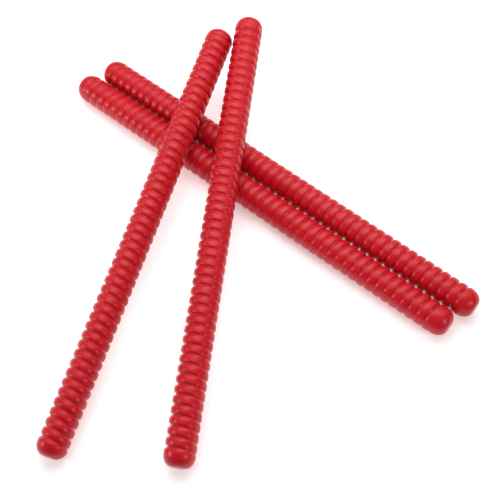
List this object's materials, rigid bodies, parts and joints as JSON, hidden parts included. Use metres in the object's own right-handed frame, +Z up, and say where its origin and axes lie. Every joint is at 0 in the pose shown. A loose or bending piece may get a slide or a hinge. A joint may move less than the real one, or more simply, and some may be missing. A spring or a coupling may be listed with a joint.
{
  "type": "ribbed rhythm sticks",
  "caption": "Red lacquered hardwood sticks with a wound ridge and rounded ends, scraped or struck together as a guiro, laid in a crossed stack.",
  "frame": {"origin": "middle of the layout's box in plan, on the surface that the sticks lie on", "axes": "+X along the front bottom stick towards its near end, +Y across it towards the raised ends of the top sticks, +Z up"},
  "size_m": [0.3108, 0.3084, 0.0492],
  "materials": {
    "red_lacquered_wood": "glossy red lacquer over turned hardwood"
  },
  "bodies": {
    "bottom_front": {"bottom_stick_front": "red_lacquered_wood"},
    "bottom_rear": {"bottom_stick_rear": "red_lacquered_wood"},
    "top_left": {"top_stick_left": "red_lacquered_wood"},
    "top_right": {"top_stick_right": "red_lacquered_wood"}
  },
  "joints": [
    {"name": "rub_slide", "type": "slide", "parent": "bottom_front", "child": "bottom_rear", "axis": [1, 0, 0], "range_m": [-0.12, 0.12]},
    {"name": "tap_hinge", "type": "hinge", "parent": "bottom_front", "child": "top_left", "pos_m": [0.00716, -0.14648, 0.00952], "axis": [0.9449, 0.3272, 0], "range_deg": [0, 40]},
    {"name": "scrape_slide", "type": "slide", "parent": "bottom_front", "child": "top_right", "axis": [1, 0, 0], "range_m": [0, 0.12]}
  ]
}
